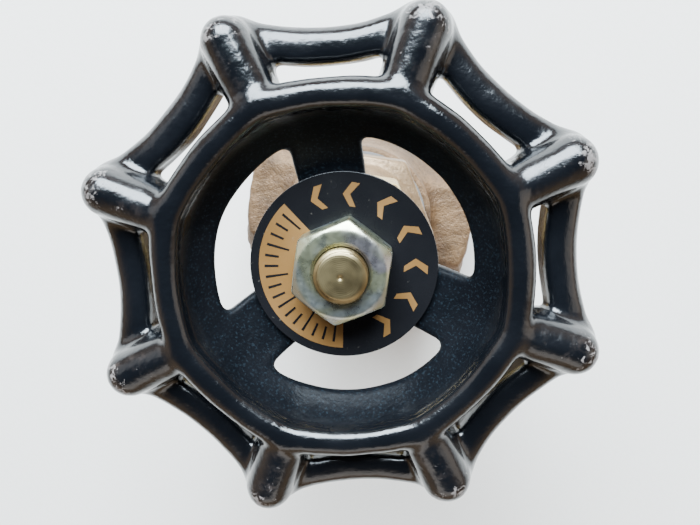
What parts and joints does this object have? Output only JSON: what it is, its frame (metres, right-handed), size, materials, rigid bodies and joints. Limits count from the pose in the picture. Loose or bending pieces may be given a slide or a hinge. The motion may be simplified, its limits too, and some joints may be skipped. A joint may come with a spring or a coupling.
{
  "type": "flow control valve",
  "caption": "Small screw-down bronze flow control valve with threaded pipe ends, packed rising stem and a dished, lobed cast handwheel.",
  "frame": {"origin": "under the stem's axis, on the plane of the lower flats of the two hexagon pipe ends", "axes": "+Z along the stem towards the handwheel, +X along the pipe run towards the outlet"},
  "size_m": [0.0628, 0.0628, 0.0881],
  "materials": {
    "cast_bronze": "rough sand-cast, pinkish tan",
    "bonnet_bronze": "fine cast, lightly tumbled",
    "turned_brass": "turned",
    "stem_brass": "turned, dulled",
    "gasket_fibre": "matt fibre",
    "packing": "graphited yarn",
    "seat_compound": "moulded",
    "black_enamel": "gloss black enamel over cast iron, worn on the ridges",
    "plate_print": "satin black with tan print",
    "plated_steel": "zinc plated, yellowish passivation"
  },
  "bodies": {
    "valve": {"valve_body": "cast_bronze", "bonnet_gasket": "gasket_fibre", "bonnet": "bonnet_bronze", "packing_washer": "turned_brass", "packing_ring_lower": "packing", "packing_ring_middle": "packing", "packing_ring_upper": "packing", "packing_gland": "turned_brass", "packing_nut": "turned_brass"},
    "disc_group": {"disc_holder": "turned_brass", "disc_lock_nut": "turned_brass", "seat_disc": "seat_compound", "seat_disc_washer": "turned_brass", "seat_disc_nut": "turned_brass"},
    "wheel_and_stem": {"stem": "stem_brass", "handwheel": "black_enamel", "identification_plate": "plate_print", "wheel_nut": "plated_steel"}
  },
  "joints": [
    {"name": "disc_lift", "type": "slide", "parent": "valve", "child": "disc_group", "axis": [0, 0, 1], "range_m": [0, 0.007]},
    {"name": "handwheel_turn", "type": "hinge", "parent": "disc_group", "child": "wheel_and_stem", "pos_m": [0, 0, 0.0805], "axis": [0, 0, 1], "range_deg": [0, 1260]}
  ],
  "couplings": [
    {"joint": "disc_lift", "follows": "handwheel_turn", "m_per_rad": 0.0003183}
  ]
}
